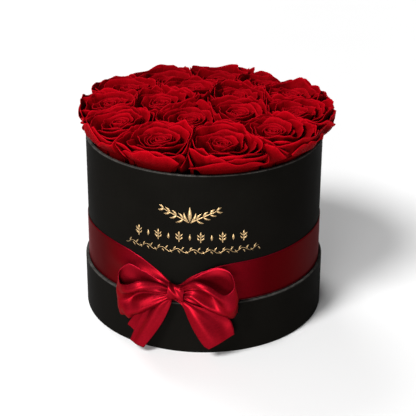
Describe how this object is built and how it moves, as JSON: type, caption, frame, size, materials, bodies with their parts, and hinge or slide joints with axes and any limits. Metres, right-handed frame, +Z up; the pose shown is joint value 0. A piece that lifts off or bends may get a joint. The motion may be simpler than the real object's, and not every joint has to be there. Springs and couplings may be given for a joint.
{
  "type": "round flower box",
  "caption": "Round black paper-covered flower box standing in its own lid, filled with red roses in foam and tied with a red satin ribbon and bow.",
  "frame": {"origin": "middle of the lid's underside, on the surface that the box stands on", "axes": "+Z up along the box's axis; -Y towards the front, where the bow is tied; +X to the right seen from the front"},
  "size_m": [0.1962, 0.2111, 0.1788],
  "materials": {
    "cover_paper": "matte",
    "lining_paper": "matte",
    "grey_board": "matte",
    "support_foam": "matte",
    "floral_foam": "matte",
    "rose_petals": "matte",
    "rose_stems": "matte",
    "satin_ribbon": "satin",
    "gold_foil": "polished"
  },
  "bodies": {
    "lid": {"lid_panel": "grey_board", "lid_wall": "grey_board", "lid_wrap": "cover_paper", "lid_panel_paper": "cover_paper", "lid_lining": "lining_paper"},
    "box": {"box_floor": "grey_board", "box_wall": "grey_board", "box_wrap": "cover_paper", "box_base_paper": "cover_paper", "box_lining": "lining_paper", "support_block": "support_foam", "foam_disc": "floral_foam", "ribbon_band": "satin_ribbon", "bow_knot": "satin_ribbon", "bow_loop_left": "satin_ribbon", "bow_loop_right": "satin_ribbon", "bow_tail_left": "satin_ribbon", "bow_tail_right": "satin_ribbon", "rose_01": "rose_petals", "rose_02": "rose_petals", "rose_03": "rose_petals", "rose_04": "rose_petals", "rose_05": "rose_petals", "rose_06": "rose_petals", "rose_07": "rose_petals", "rose_08": "rose_petals", "rose_09": "rose_petals", "rose_10": "rose_petals", "rose_11": "rose_petals", "rose_12": "rose_petals", "rose_13": "rose_petals", "rose_14": "rose_petals", "rose_15": "rose_petals", "rose_16": "rose_petals", "stem_01": "rose_stems", "stem_02": "rose_stems", "stem_03": "rose_stems", "stem_04": "rose_stems", "stem_05": "rose_stems", "stem_06": "rose_stems", "stem_07": "rose_stems", "stem_08": "rose_stems", "stem_09": "rose_stems", "stem_10": "rose_stems", "stem_11": "rose_stems", "stem_12": "rose_stems", "stem_13": "rose_stems", "stem_14": "rose_stems", "stem_15": "rose_stems", "stem_16": "rose_stems"}
  },
  "joints": [
    {"name": "box_lift", "type": "slide", "parent": "lid", "child": "box", "axis": [0, 0, 1], "range_m": [0, 0.06]}
  ]
}
